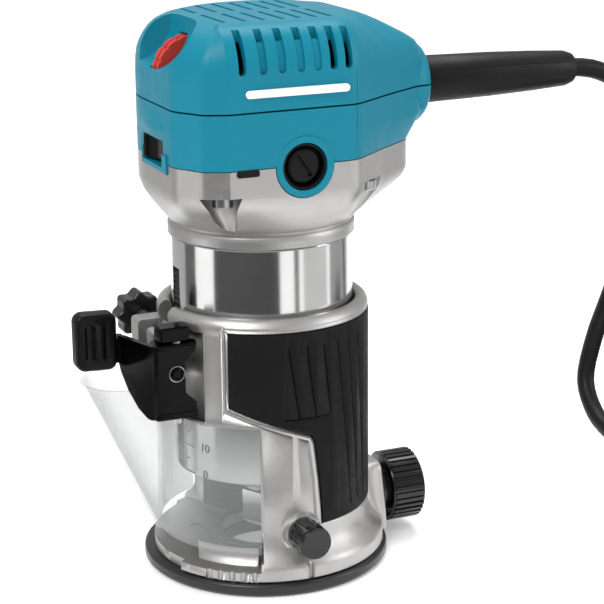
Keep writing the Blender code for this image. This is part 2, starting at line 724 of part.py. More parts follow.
def spline_through(points, spacing):
    """Points about `spacing` apart on a smooth (centripetal) curve through the given ones."""
    points = [Vector(p) for p in points]
    points = [points[0] * 2 - points[1]] + points + [points[-1] * 2 - points[-2]]
    out = []
    for p0, p1, p2, p3 in zip(points, points[1:], points[2:], points[3:]):
        t1 = (p1 - p0).length ** 0.5
        t2 = t1 + (p2 - p1).length ** 0.5
        t3 = t2 + (p3 - p2).length ** 0.5
        count = max(1, round((p2 - p1).length / spacing))
        for k in range(count):
            t = t1 + (t2 - t1) * k / count
            a1 = p0.lerp(p1, t / t1)
            a2 = p1.lerp(p2, (t - t1) / (t2 - t1))
            a3 = p2.lerp(p3, (t - t2) / (t3 - t2))
            b1 = a1.lerp(a2, t / t2)
            b2 = a2.lerp(a3, (t - t1) / (t3 - t1))
            out.append(b1.lerp(b2, (t - t1) / (t2 - t1)))
    out.append(points[-2])
    return out


LEAD_ROUTE = [
    (GUARD_END + 1.0, 0, LEAD_HEIGHT),
    (135, 0, 170.5),
    (148, 0.5, 164),
    (157, 1.5, 149),
    (159.5, 3, 128),
    (158, 6, 104),
    (154.5, 11, 80),
    (150, 16, 58),
    (146.2, 15, 41),
    (145, 5, 30.5),
    (144.7, -7, 26.6),
    (145, -17, 25.2),
]


def make_lead():
    neck, start = BOSS_END - 5.2, BOSS_END + 0.4
    guard = [(3.8, neck), (7.4, neck), (7.4, start), (8.5, start), (8.1, 90), (7.4, 108)]
    guard += [(6.4, GUARD_END), (3.8, GUARD_END)]
    place = dict(mat=BLACK, at=(0, 0, LEAD_HEIGHT), turn=(0, 90, 0))
    turned("cord_guard", guard, 24, **place)
    rod("lead_tail", 3.4, 40, GUARD_END - 1, 16, **place)
    block("lead_clamp", (42, -7, 163.4), (51, 7, 167.2), 0.6, mat=BLACK)
    wire("cord_lead", spline_through(LEAD_ROUTE, 9.0), CORD_RADIUS, 2, mat=BLACK)
    low, high = COIL_RADII
    ring("cord_coil", low, high, 0, COIL_HEIGHT, steps=32, mat=BLACK, at=(*COIL_AT, 0))
    make_plug()


def make_plug():
    x, y, z = PLUG_AT
    outline = fillet([(-7, 0, 2), (7, 0, 2), (18, 22, 6), (18, 42, 3), (-18, 42, 3), (-18, 22, 6)], 3)
    plug = plate("plug", outline[::-1], -11.5, 11.5, mat=BLACK, at=(x, y, z))
    for side in (-9.5, 9.5):
        pin = rod(f"plug_pin_{side:.0f}", 2.4, -61, -38, 16, at=(x + side, y, z), turn=(90, 0, 0))
        join(plug, pin)


make_sole()
make_base()
make_grips()
make_nozzle()
make_screws()
make_clamp()
make_depth_drive()
make_barrel()
make_motor_casting()
make_housing()
make_cover()
make_controls()
make_brush_gear()
make_motor_core()
make_lead()
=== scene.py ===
"""Looks of the trim router: camera, light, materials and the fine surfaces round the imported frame."""

import json
import math

import bmesh
import bpy
import numpy as np
from mathutils import Matrix, Vector

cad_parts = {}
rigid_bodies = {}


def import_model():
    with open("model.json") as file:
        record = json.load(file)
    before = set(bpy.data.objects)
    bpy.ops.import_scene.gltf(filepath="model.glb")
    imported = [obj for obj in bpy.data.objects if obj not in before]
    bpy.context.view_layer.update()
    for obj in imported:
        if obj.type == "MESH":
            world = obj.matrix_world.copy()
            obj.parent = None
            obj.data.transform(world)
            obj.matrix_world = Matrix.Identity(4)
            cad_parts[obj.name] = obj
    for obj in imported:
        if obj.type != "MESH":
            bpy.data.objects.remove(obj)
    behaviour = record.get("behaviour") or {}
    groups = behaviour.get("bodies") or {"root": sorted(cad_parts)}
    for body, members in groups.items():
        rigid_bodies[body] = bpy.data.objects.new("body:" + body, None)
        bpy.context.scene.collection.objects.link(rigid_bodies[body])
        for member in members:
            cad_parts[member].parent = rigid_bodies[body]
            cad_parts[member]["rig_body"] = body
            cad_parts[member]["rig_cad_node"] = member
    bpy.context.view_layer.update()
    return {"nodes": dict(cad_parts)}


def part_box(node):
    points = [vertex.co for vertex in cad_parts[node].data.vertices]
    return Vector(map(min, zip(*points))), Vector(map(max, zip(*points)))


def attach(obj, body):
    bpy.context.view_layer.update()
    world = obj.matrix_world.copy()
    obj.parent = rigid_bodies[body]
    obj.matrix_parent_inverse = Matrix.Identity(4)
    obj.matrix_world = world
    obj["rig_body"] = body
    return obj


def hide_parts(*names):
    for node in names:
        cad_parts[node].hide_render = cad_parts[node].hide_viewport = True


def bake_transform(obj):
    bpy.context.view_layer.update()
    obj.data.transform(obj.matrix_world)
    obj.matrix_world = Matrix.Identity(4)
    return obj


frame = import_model()
scene = bpy.context.scene
MM = 0.001
_low, _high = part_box("barrel")
SPINDLE = Vector(((_low.x + _high.x) / 2, (_low.y + _high.y) / 2, 0))


def row(point):
    """A point in millimetres from the foot of the spindle, in the row frame in metres."""
    return Vector(point) * MM + SPINDLE


# Grey cards on the floor that only mirrored rays see: from and to angle, nearest distance, grey.
REFLECTED = [
    (-172, -90, 0.16, 0.04), (140, 160, 0.16, 0.10), (100, 140, 0.2, 0.4), (-72, -66, 0.2, 0.12),
    (-60, -25, 0.2, 0.55), (-20, 20, 0.2, 0.3),
]

# ---- Camera, light and floor ------------------------------------------------------------

def make_camera():
    yaw, pitch, roll = math.radians(23), math.radians(15.83), math.radians(-0.55)
    forward = Vector((math.sin(yaw) * math.cos(pitch), math.cos(yaw) * math.cos(pitch), -math.sin(pitch)))
    right = Vector((math.cos(yaw), -math.sin(yaw), 0))
    up = right.cross(forward)
    x = right * math.cos(roll) + up * math.sin(roll)
    y = up * math.cos(roll) - right * math.sin(roll)
    data = bpy.data.cameras.new("camera")
    data.lens, data.sensor_width = 111.5, 36
    data.clip_start, data.clip_end = 0.01, 20
    camera = bpy.data.objects.new("camera", data)
    camera.matrix_world = Matrix.Translation(row((-240.0, -602.1, 279.0))) @ Matrix(
        (x, y, -forward)
    ).transposed().to_4x4()
    scene.collection.objects.link(camera)
    scene.camera = camera


def panel_light(name, at, target, size, power, colour=(1, 1, 1)):
    data = bpy.data.lights.new(name, "AREA")
    data.shape = "RECTANGLE"
    data.size, data.size_y = size
    data.energy = power
    data.color = colour
    lamp = bpy.data.objects.new(name, data)
    lamp.location = at
    lamp.rotation_euler = (Vector(target) - Vector(at)).to_track_quat("-Z", "Y").to_euler()
    scene.collection.objects.link(lamp)


def make_stage():
    world = bpy.data.worlds.new("studio")
    scene.world = world
    world.use_nodes = True
    back = world.node_tree.nodes["Background"]
    back.inputs["Color"].default_value = (1, 1, 1, 1)
    back.inputs["Strength"].default_value = 0.55
    scene.view_settings.view_transform = "Standard"
    panel_light("key", (-1.0, -0.7, 1.3), (0, 0, 0.1), (0.7, 0.7), 17)
    panel_light("fill", (1.2, -0.7, 0.6), (0, 0, 0.1), (0.4, 0.9), 6)
    panel_light("top", (0.2, 0.4, 1.6), (0, 0, 0.05), (1.2, 1.0), 22)
    mesh = bpy.data.meshes.new("floor")
    mesh.from_pydata([(-8, -8, 0), (8, -8, 0), (8, 8, 0), (-8, 8, 0)], [], [(0, 1, 2, 3)])
    floor = bpy.data.objects.new("floor", mesh)
    scene.collection.objects.link(floor)
    pale = material("floor_pale", (0.93, 0.93, 0.93), 0.9, grain=(60, 0.0), vary=0.01, shine=0.1)
    glow = pale.node_tree.nodes["Principled BSDF"].inputs
    glow["Emission Color"].default_value = (1, 1, 1, 1)
    glow["Emission Strength"].default_value = 0.22
    mesh.materials.append(pale)
    for i, (start, end, near, grey) in enumerate(REFLECTED):
        verts, faces = [], []
        for k in range(25):
            a = math.radians(start + (end - start) * k / 24)
            verts += [(r * math.cos(a), r * math.sin(a), 0.0006 + i * 0.0003) for r in (near, 3.0)]
            if k:
                faces.append((2 * k - 2, 2 * k - 1, 2 * k + 1, 2 * k))
        sheet = bpy.data.meshes.new(f"flag_{i}")
        sheet.from_pydata(verts, [], faces)
        sheet.materials.append(material(f"flag_{i}", (grey,) * 3, 0.9, grain=(50, 0.01)))
        flag = bpy.data.objects.new(f"flag_{i}", sheet)
        flag.location = SPINDLE
        scene.collection.objects.link(flag)
        flag.visible_camera = flag.visible_diffuse = flag.visible_shadow = flag.visible_transmission = False


# ---- Materials --------------------------------------------------------------------------

def material(
    name, colour, roughness, metallic=0.0, grain=(900, 0.1), vary=0.06, coat=0.0, rings=None, shine=0.5
):
    """A Principled material whose colour, roughness and relief vary with fine noise.

    grain is (noise scale per metre, bump strength). rings adds turned lines round Z: (per metre, strength).
    """
    mat = bpy.data.materials.new(name)
    mat.use_nodes = True
    nodes, links = mat.node_tree.nodes, mat.node_tree.links
    shader = nodes["Principled BSDF"]
    shader.inputs["Metallic"].default_value = metallic
    shader.inputs["Coat Weight"].default_value = coat
    shader.inputs["Specular IOR Level"].default_value = shine
    where = nodes.new("ShaderNodeTexCoord")

    def noise(scale, detail):
        node = nodes.new("ShaderNodeTexNoise")
        node.inputs["Scale"].default_value = scale
        node.inputs["Detail"].default_value = detail
        links.new(where.outputs["Object"], node.inputs["Vector"])
        return node.outputs["Fac"]

    def spread(fac, low, high):
        node = nodes.new("ShaderNodeMapRange")
        node.inputs["From Min"].default_value = 0.3
        node.inputs["From Max"].default_value = 0.7
        node.inputs["To Min"].default_value = low
        node.inputs["To Max"].default_value = high
        links.new(fac, node.inputs["Value"])
        return node.outputs["Result"]

    cloud = noise(45, 4)
    mix = nodes.new("ShaderNodeMix")
    mix.data_type = "RGBA"
    mix.inputs["A"].default_value = (*[c * (1 - vary) for c in colour], 1)
    mix.inputs["B"].default_value = (*[min(1, c * (1 + vary)) for c in colour], 1)
    links.new(spread(cloud, 0, 1), mix.inputs["Factor"])
    links.new(mix.outputs["Result"], shader.inputs["Base Color"])
    links.new(spread(noise(220, 3), roughness * 0.88, roughness * 1.12), shader.inputs["Roughness"])
    bump = nodes.new("ShaderNodeBump")
    bump.inputs["Strength"].default_value = grain[1]
    bump.inputs["Distance"].default_value = 0.0002
    links.new(noise(grain[0], 2), bump.inputs["Height"])
    if rings:
        wave = nodes.new("ShaderNodeTexWave")
        wave.bands_direction = "Z"
        wave.inputs["Scale"].default_value = rings[0]
        wave.inputs["Distortion"].default_value = 0.6
        wave.inputs["Detail"].default_value = 2
        links.new(where.outputs["Object"], wave.inputs["Vector"])
        turned = nodes.new("ShaderNodeBump")
        turned.inputs["Strength"].default_value = rings[1]
        turned.inputs["Distance"].default_value = 0.0001
        links.new(wave.outputs["Fac"], turned.inputs["Height"])
        links.new(bump.outputs["Normal"], turned.inputs["Normal"])
        bump = turned
    links.new(bump.outputs["Normal"], shader.inputs["Normal"])
    return mat


def clear_material(name):
    """Thin clear plastic: almost invisible face on, whiter and glossier towards its edges."""
    mat = material(name, (0.38, 0.39, 0.395), 0.07, grain=(25, 0.2), shine=0.35)
    nodes, links = mat.node_tree.nodes, mat.node_tree.links
    shader = nodes["Principled BSDF"]
    weight = nodes.new("ShaderNodeLayerWeight")
    weight.inputs["Blend"].default_value = 0.35
    fade = nodes.new("ShaderNodeMapRange")
    fade.inputs["To Min"].default_value = 0.18
    fade.inputs["To Max"].default_value = 0.62
    links.new(weight.outputs["Facing"], fade.inputs["Value"])
    links.new(fade.outputs["Result"], shader.inputs["Alpha"])
    return mat


TEAL = material("teal_plastic", (0.002, 0.178, 0.258), 0.42, grain=(2600, 0.10), vary=0.03, shine=0.2)
CAST = material("cast_metal", (0.45, 0.445, 0.435), 0.40, 0.9, grain=(2600, 0.35), vary=0.05)
TURNED = material("turned_metal", (0.54, 0.538, 0.535), 0.13, 1.0, (1500, 0.01), 0.05, rings=(900, 0.05))
STEEL = material("plain_steel", (0.42, 0.42, 0.43), 0.32, 1.0, (1400, 0.1))
RUBBER = material("grip_rubber", (0.0045, 0.0045, 0.005), 0.6, grain=(3200, 0.35), vary=0.12, shine=0.16)
BLACK = material("black_plastic", (0.003, 0.003, 0.0035), 0.38, grain=(2400, 0.15), vary=0.10, shine=0.2)
SOLE = material("sole_plastic", (0.012, 0.012, 0.013), 0.34, grain=(1800, 0.12), vary=0.10, shine=0.5)
KNOB = material("knob_plastic", (0.004, 0.004, 0.0045), 0.22, grain=(1800, 0.08), vary=0.10, shine=0.5)
ENAMEL = material("black_enamel", (0.0008, 0.0008, 0.001), 0.14, grain=(500, 0.10), vary=0.15, shine=0.10)
CORD = material("lead_rubber", (0.004, 0.004, 0.0045), 0.46, grain=(2600, 0.2), vary=0.12, shine=0.22)
RED = material("dial_red", (0.50, 0.035, 0.02), 0.38, grain=(2400, 0.12), vary=0.06, shine=0.3)
WHITE = material("white_mark", (0.86, 0.86, 0.86), 0.45, grain=(2400, 0.1), vary=0.02)
INK = material("scale_ink", (0.01, 0.01, 0.01), 0.5, grain=(2400, 0.1), vary=0.05, shine=0.1)
COPPER = material("varnished_copper", (0.60, 0.27, 0.12), 0.3, 0.9, grain=(1500, 0.4), vary=0.15)
BRASS = material("brass", (0.66, 0.48, 0.20), 0.3, 1.0, grain=(1200, 0.1))
CARBON = material("carbon", (0.03, 0.03, 0.032), 0.6, grain=(2500, 0.3))
BOARD = material("circuit_board", (0.02, 0.14, 0.05), 0.45, grain=(700, 0.3), vary=0.3)
CLEAR = clear_material("clear_plastic")

# ---- Modelling helpers ------------------------------------------------------------------

def new_object(name, verts, faces, mat=None, smooth=32):
    """A mesh in the row frame from points in millimetres round the spindle, normals outwards."""
    bm = bmesh.new()
    made = [bm.verts.new(row(v)) for v in verts]
    for face in faces:
        bm.faces.new([made[i] for i in face])
    bmesh.ops.remove_doubles(bm, verts=bm.verts, dist=1e-7)
    bmesh.ops.recalc_face_normals(bm, faces=bm.faces)
    mesh = bpy.data.meshes.new(name)
    bm.to_mesh(mesh)
    bm.free()
    obj = bpy.data.objects.new(name, mesh)
    scene.collection.objects.link(obj)
    if mat:
        mesh.materials.append(mat)
    shade(obj, smooth)
    return obj


def shade(obj, smooth=32):
    obj.data.shade_smooth()
    obj.data.set_sharp_from_angle(angle=math.radians(smooth))


def sweep(name, rings, mat=None, caps=True, smooth=32):
    """Skins rings of points, each with the same count, and closes the two ends."""
    count = len(rings[0])
    verts = [p for ring in rings for p in ring]
    faces = []
    for i in range(len(rings) - 1):
        for j in range(count):
            a, b = i * count + j, i * count + (j + 1) % count
            faces.append((a, b, b + count, a + count))
    if caps:
        faces.append(tuple(range(count))[::-1])
        faces.append(tuple(range(len(verts) - count, len(verts))))
    return new_object(name, verts, faces, mat, smooth)


def axes(at=(0, 0, 0), axis="Z"):
    """Maps a piece's own Z onto a tool axis: Z, X, -X, Y or -Y."""
    turn = {"Z": (0, "X"), "X": (90, "Y"), "-X": (-90, "Y"), "Y": (-90, "X"), "-Y": (90, "X")}[axis]
    return Matrix.Translation(Vector(at)) @ Matrix.Rotation(math.radians(turn[0]), 4, turn[1])


def spin(name, profile, mat=None, steps=96, at=(0, 0, 0), axis="Z", smooth=32):
    """Turns a closed (radius, height) profile."""
    place = axes(at, axis)
    rings = []
    for i in range(steps):
        a = math.tau * i / steps
        rings.append([place @ Vector((r * math.cos(a), r * math.sin(a), z)) for r, z in profile])
    rings.append(rings[0])
    count = len(profile)
    verts = [p for ring in rings[:-1] for p in ring]
    faces = []
    for i in range(steps):
        for j in range(count):
            k = (j + 1) % count
            quad = [(i * count + j), (i * count + k), ((i + 1) % steps * count + k), ((i + 1) % steps * count + j)]
            if profile[j][0] == 0 and profile[k][0] == 0:
                continue
            if profile[j][0] == 0:
                quad = quad[:3]
                quad[0] = j
            elif profile[k][0] == 0:
                quad = [quad[0], k, quad[3]]
            faces.append(tuple(quad))
    return new_object(name, verts, faces, mat, smooth)


def rounded_profile(points, radius=0.6, steps=3):
    """Rounds every corner of a closed (radius, height) profile that lies off the axis."""
    out = []
    for i, p in enumerate(points):
        before, here, after = Vector(points[i - 1]), Vector(p), Vector(points[(i + 1) % len(points)])
        if here.x == 0:
            out.append(p)
            continue
        a, b = before - here, after - here
        reach = min(radius, a.length * 0.45, b.length * 0.45)
        start, end = here + a.normalized() * reach, here + b.normalized() * reach
        for k in range(steps + 1):
            t = k / steps
            out.append(tuple(start.lerp(here, t).lerp(here.lerp(end, t), t)))
    return out


def prism(name, outline, low, high, mat=None, at=(0, 0, 0), axis="Z", smooth=32):
    place = axes(at, axis)
    rings = [[place @ Vector((x, y, z)) for x, y in outline] for z in (low, high)]
    return sweep(name, rings, mat, smooth=smooth)


def block(name, low, high, mat=None):
    (x0, y0, z0), (x1, y1, z1) = low, high
    return prism(name, [(x0, y0), (x1, y0), (x1, y1), (x0, y1)], z0, z1, mat)


def cylinder(name, radius, low, high, at=(0, 0, 0), axis="Z", steps=48, mat=None, high_radius=None):
    top = radius if high_radius is None else high_radius
    return spin(name, [(0, low), (radius, low), (top, high), (0, high)], mat, steps, at, axis)


def carve(obj, *tools, union=False):
    """Applies Booleans and removes the tools."""
    for tool in tools:
        mod = obj.modifiers.new("carve", "BOOLEAN")
        mod.operation = "UNION" if union else "DIFFERENCE"
        mod.object = tool
    bake(obj)
    for tool in tools:
        bpy.data.objects.remove(tool)
    return obj


def bake(obj):
    bpy.context.view_layer.update()
    graph = bpy.context.evaluated_depsgraph_get()
    mesh = bpy.data.meshes.new_from_object(obj.evaluated_get(graph))
    obj.modifiers.clear()
    obj.data = mesh
    shade(obj)


def ease_edges(obj, width=0.4, segments=2, angle=38):
    """Rounds the sharp edges, and keeps the faces between them flat."""
    mod = obj.modifiers.new("edges", "BEVEL")
    mod.width = width * MM
    mod.segments = segments
    mod.limit_method = "ANGLE"
    mod.angle_limit = math.radians(angle)
    mod.harden_normals = True
    mod.use_clamp_overlap = True
    return obj


def settle(obj, body, *nodes):
    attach(obj, body)
    if nodes:
        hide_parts(*nodes)
    return obj


def polar(radius, degrees, z=None):
    x = radius * math.cos(math.radians(degrees))
    y = radius * math.sin(math.radians(degrees))
    return (x, y) if z is None else (x, y, z)


def fillet(corners, steps=8, between=4):
    """Rounds the corners (x, y, radius) of a closed outline, with points along its straights."""
    arcs = []
    for i, (x, y, radius) in enumerate(corners):
        here = Vector((x, y))
        before = (Vector(corners[i - 1][:2]) - here).normalized()
        after = (Vector(corners[(i + 1) % len(corners)][:2]) - here).normalized()
        half = before.angle(after) / 2
        reach = radius / math.tan(half)
        middle = here + (before + after).normalized() * radius / math.sin(half)
        start, end = here + before * reach - middle, here + after * reach - middle
        sweep_angle = start.angle_signed(end)
        arcs.append(
            [middle + Matrix.Rotation(-sweep_angle * k / steps, 2) @ start for k in range(steps + 1)]
        )
    out = []
    for arc, following in zip(arcs, arcs[1:] + arcs[:1]):
        out += arc
        out += [arc[-1].lerp(following[0], k / (between + 1)) for k in range(1, between + 1)]
    return [tuple(p) for p in out]


def band(name, columns, inner, outer, mat=None, smooth=32):
    """A curved slab on the spindle's cylinder. Each column is (angle from -Y towards +X, low, high)."""
    rings = []
    for angle, low, high in columns:
        a = angle - 90
        rings.append([polar(inner, a, low), polar(outer, a, low), polar(outer, a, high), polar(inner, a, high)])
    return sweep(name, rings, mat, smooth=smooth)


# ---- Upper body -------------------------------------------------------------------------

LEAD_HEIGHT = 171.6
BRUSH_HEIGHT = 152.6
DIAL_AT = (-26.5, -4.0, 181.0)
CASTING_SCREWS = ((-27.5, -35), (-22, 33), (27, -30), (27, 30))
VENTS = (-21.8, -14.4, -7.6, -0.9, 5.2, 11.0, 16.5)


def shell_plan(front, half, tail, tail_half):
    """The plan of the upper body: a chamfered near front corner and a very round far one."""
    middle = 19.5 + (tail - 19.5) * 0.5
    return fillet(
        [
            (-front, -half + 15, 10),
            (-front + 6.6, -half + 3.4, 6),
            (-27, -half, 1.5),
            (19.5, -half + 1.2, 10),
            (middle, -half * 0.63, 14),
            (tail, -tail_half, 9),
            (tail, tail_half, 9),
            (middle, half * 0.63, 14),
            (19.5, half - 1.2, 10),
            (-front, half, 35),
        ],
        10,
        6,
    )


def shrink(plan, inset):
    """Moves a plan's points towards the spindle."""
    return [tuple(Vector(p) * (1 - inset / Vector(p).length)) for p in plan]


def ring_at(plan, z, mix=1.0, inset=0.0):
    """The plan at height z, mixed with the round collar under it."""
    out = []
    for p in shrink(plan, inset) if inset else plan:
        v = Vector(p)
        v = (v.normalized() * 33.3).lerp(v, mix)
        out.append((v.x, v.y, z))
    return out


CAST_PLAN = shell_plan(41.4, 41.3, 52, 13)
BODY_PLAN = shell_plan(41.4, 41.3, 57.5, 13.5)


def curve_through(points, count):
    """Samples of a smooth curve through (z, value) points."""
    z = np.array([p[0] for p in points], float)
    v = np.array([p[1] for p in points], float)
    slope = np.diff(v) / np.diff(z)
    grad = np.concatenate([[slope[0]], (slope[1:] + slope[:-1]) / 2, [slope[-1]]])
    out = []
    for s in np.linspace(z[0], z[-1], count):
        i = min(len(z) - 2, int(np.searchsorted(z, s, "right") - 1))
        h = z[i + 1] - z[i]
        t = (s - z[i]) / h
        value = (2 * t**3 - 3 * t**2 + 1) * v[i] + (t**3 - 2 * t**2 + t) * h * grad[i]
        value += (3 * t**2 - 2 * t**3) * v[i + 1] + (t**3 - t**2) * h * grad[i + 1]
        out.append((float(s), float(value)))
    return out


def make_casting():
    rings = [[(x * 0.99, y * 0.99, 122.8) for x, y, _ in ring_at(CAST_PLAN, 0, 0)]]
    rings += [ring_at(CAST_PLAN, z, 0) for z in (123.2, 125.0, 126.6)]
    groove = ring_at(CAST_PLAN, 0, 0)
    rings += [[(x * k, y * k, z) for x, y, _ in groove] for z, k in ((127.1, 0.992), (127.6, 0.976), (128.4, 0.974))]
    mixes = [(129.2, 0.01), (130, 0.10), (132, 0.30), (136, 0.64), (140, 0.90), (143.5, 1.0), (153, 1.0)]
    rings += [ring_at(CAST_PLAN, z, min(1, max(0, mix))) for z, mix in curve_through(mixes, 48)]
    casting = sweep("upper_casting", rings, CAST)
    tools = [cylinder("t", 31.3, 120, 126.3, steps=96), cylinder("t", 29.5, 125, 160, steps=96)]
    tools.append(block("t", (-45, -20.9, 149.6), (-29, 5.0, 156)))
    for side in (1, -1):
        tools.append(cylinder("t", 10.7, 26, 50, (0, 0, BRUSH_HEIGHT), "-Y" if side > 0 else "Y", 64))
    for x, y in CASTING_SCREWS:
        out = Vector((x, y)).normalized()
        rings = []
        for k in range(9):
            t = k / 8
            centre = out * (46.2 - 11.5 * (1 - t) ** 1.3)
            r = 0.6 + 6.9 * t**0.75
            z = 128.2 + 15.8 * t
            rings.append([(centre.x + r * math.cos(a), centre.y + r * math.sin(a), z) for a in np.linspace(0, math.tau, 41)[:-1]])
        tools.append(sweep("t", rings))
    for side in (-1, 1):
        tools.append(block("t", (19.2, 40.2 * side - 0.8, 120), (19.8, 40.2 * side + 0.8, 154)))
    carve(casting, *tools)
    ease_edges(casting, 0.3)
    settle(casting, "motor", "motor_casting")
    for i, (x, y) in enumerate(CASTING_SCREWS):
        head = [(0, 141.9), (1.9, 141.9), (1.9, 140.4), (3.2, 140.4), (3.6, 140.9), (3.6, 143.7), (2, 143.7), (2, 165), (0, 165)]
        screw = spin(f"cap_screw_{i + 1}", head, STEEL, 32, (x, y, 0))
        settle(screw, "motor", f"casting_screw_{i + 1}")
    # A black plate set into the small slit at the foot of the housing: painted shade that stands in for the dark inside
    # of the gap.
    gap_shade = prism("gap_painted_shade", fillet([(-24.6, 150.9, 0.8), (-16.6, 150.9, 0.8), (-16.6, 153.2, 0.8), (-24.6, 153.2, 0.8)], 4, 0), 39.4, 41.5, BLACK, (0, 0, 0), "-Y")
    settle(gap_shade, "motor")


def bulge(ring, z, centre, spread, height):
    """Pushes the front of a ring outwards round a spot, as over the rocker."""
    out = []
    for x, y, _ in ring:
        if x < -30:
            x -= height * math.exp(-(((y - centre[0]) / spread[0]) ** 2 + ((z - centre[1]) / spread[1]) ** 2))
        out.append((x, y, z))
    return out


def boss(name):
    profile = [(0, 61.5), (9.5, 61.5), (11.8, 61.2), (13.4, 60.4), (14.8, 58.8), (15.6, 56.4)]
    profile += [(16.0, 53), (16.2, 49), (16.2, 30), (0, 30)]
    return spin(name, profile, None, 96, (0, 0, LEAD_HEIGHT), "X")


def lead_bore():
    return cylinder("t", 7.9, 40, 80, (0, 0, LEAD_HEIGHT), "X", 64)


def make_housing():
    rings = []
    for i in range(19):
        z = 153.3 + 18.4 * i / 18
        t = min(1, (z - 153.3) / 9)
        plan = [tuple(Vector(a).lerp(Vector(b), t)) for a, b in zip(CAST_PLAN, BODY_PLAN)]
        rings.append(bulge(ring_at(plan, z), z, (-6.4, 165.0), (12, 3.4), 1.9))
    housing = sweep("lower_housing", rings, TEAL)
    rim = boss("t")
    carve(rim, block("t", (0, -40, 171.7), (90, 40, 220)))
    joined = [rim, block("t", (-42.1, -20.5, 150), (-36.8, 4.6, 156))]
    for axis in ("-Y", "Y"):
        joined.append(cylinder("t", 10.35, 34, 40.9, (0, 0, BRUSH_HEIGHT), axis, 96))
    carve(housing, *joined, union=True)
    inner = [ring_at(CAST_PLAN, z, inset=2.8) for z in (138, 158)]
    inner += [ring_at(BODY_PLAN, z, inset=2.8) for z in (162, 180)]
    tools = [sweep("t", inner), lead_bore()]
    for axis in ("-Y", "Y"):
        tools.append(cylinder("t", 8.1, 30, 50, (0, 0, BRUSH_HEIGHT), axis, 96))
    tools.append(block("t", (-50, -16.4, 151.5), (-30, 3.6, 160.5)))
    for side in (-1, 1):
        tools.append(block("t", (19.2, 40.2 * side - 0.8, 150), (19.75, 40.2 * side + 0.8, 175)))
    carve(housing, *tools)
    ease_edges(housing, 0.35)
    settle(housing, "motor", "motor_housing")


COVER_LEVELS = [
    (172.3, 41.4, 41.3, 57.5), (180, 41.4, 41.3, 57.5), (185, 41.2, 41.1, 57), (188, 40.8, 40.8, 55),
    (190.5, 40.1, 40.1, 51), (193, 39.1, 39.0, 46), (195.5, 37.7, 37.5, 41), (197.5, 36.0, 35.6, 36.5),
    (199, 33.8, 33.2, 32.5), (199.9, 31.0, 30.4, 29.5),
]


def make_cover():
    rings = [ring_at(shell_plan(f, h, t, 13.5), z) for z, f, h, t in COVER_LEVELS]
    cover = sweep("upper_cover", rings, TEAL, smooth=40)
    rim = boss("t")
    carve(rim, block("t", (0, -40, 100), (90, 40, 172.3)))
    carve(cover, rim, union=True)
    inner = [ring_at(shell_plan(f, h, t, 13.5), z - 2.6, inset=2.6) for z, f, h, t in COVER_LEVELS]
    inner[0] = ring_at(BODY_PLAN, 160, inset=2.6)
    x, y, z = DIAL_AT
    scoop_at = (-44, y, 199)
    hollow = carve(sweep("t", inner), cylinder("t", 19.2, -16, 30, scoop_at, "-Y", 64))
    scoop = [(0, -12), (10, -12), (14.6, -10.5), (16.1, -7), (16.3, 0), (16.3, 8), (15.4, 13), (13.5, 18), (10, 23), (5.5, 27.5), (0, 29)]
    tools = [hollow, lead_bore(), spin("t", scoop, None, 64, scoop_at, "-Y")]
    tools.append(cylinder("t", 13.7, -3.6, 3.6, (x, y, z), "-Y", 64))
    for side in (-1, 1):
        tools.append(block("t", (19.2, 40.3 * side - 0.9, 170), (19.75, 40.3 * side + 0.9, 187)))
        for i, vent in enumerate(VENTS):
            full = i in (0, 5, 6)
            place = ((vent, 0, 0), (0, side, 0), (0, 0, 1))
            z0 = 185.6 if full else 194.2
            slot = fillet([(33.8, z0, 0.3), (50, z0, 0.3), (50, 205, 0.3), (33.8, 205, 0.3)], 3, 0)
            tools.append(slab("t", slot, -1.35, 1.35, *place))
            if full:
                tools.append(cylinder("t", 1.35, 33.8, 50, (vent, 0, z0), "Y" if side > 0 else "-Y", 24))
            else:
                groove = [(cover_half(z), z) for z in np.linspace(185.6, 194.4, 9)]
                tools.append(slab("t", groove + [(50, 194.4), (50, 185.6)], -1.35, 1.35, *place))
                tools.append(cylinder("t", 1.35, cover_half(185.6), 50, (vent, 0, 185.6), "Y" if side > 0 else "-Y", 24))
            low, high = sorted((3 * side, 25 * side))
            tools.append(block("t", (vent - 0.8, low, 199.45), (vent + 0.8, high, 205)))
    carve(cover, *tools)
    ease_edges(cover, 0.35)
    settle(cover, "motor", "top_cover")
    bar = fillet([(-21, 176.9, 1.2), (16, 176.9, 1.2), (16, 179.5, 1.2), (-21, 179.5, 1.2)], 6, 0)
    settle(ease_edges(prism("side_bar", bar, 40.2, 41.9, WHITE, (0, 0, 0), "-Y"), 0.3), "motor")


def cover_half(z):
    """Where the bottom of a shallow vent groove lies at height z."""
    levels = np.array(COVER_LEVELS)
    return float(np.interp(z, levels[:, 0], levels[:, 2])) - 1.5


def make_brush_caps():
    for axis, where in (("-Y", "near"), ("Y", "far")):
        at = (0, 0, BRUSH_HEIGHT)
        cup = [(5.0, 36.4), (7.9, 36.4), (7.9, 40.3), (7.1, 40.3), (6.9, 39.4), (6.9, 37.2), (6.2, 36.9), (5.0, 36.9)]
        settle(spin(f"brush_cup_{where}", rounded_profile(cup, 0.2, 2), BLACK, 64, at, axis), "motor")
        cap = spin(f"brush_cover_{where}", rounded_profile([(0, 36.9), (5.9, 36.9), (5.9, 39.0), (5.0, 39.5), (0, 39.5)], 0.3), BLACK, 64, at, axis)
        slot = block("t", (-4.4, -0.7, 38.3), (4.4, 0.7, 41))
        slot.data.transform(Matrix.Translation(-SPINDLE))
        turn = Matrix.Rotation(math.radians(125 if axis == "-Y" else 55), 4, "Z")
        slot.data.transform(Matrix.Translation(row(at)) @ axes((0, 0, 0), axis) @ turn)
        carve(cap, slot)
        settle(ease_edges(cap, 0.15), "motor", f"brush_cap_{where}")


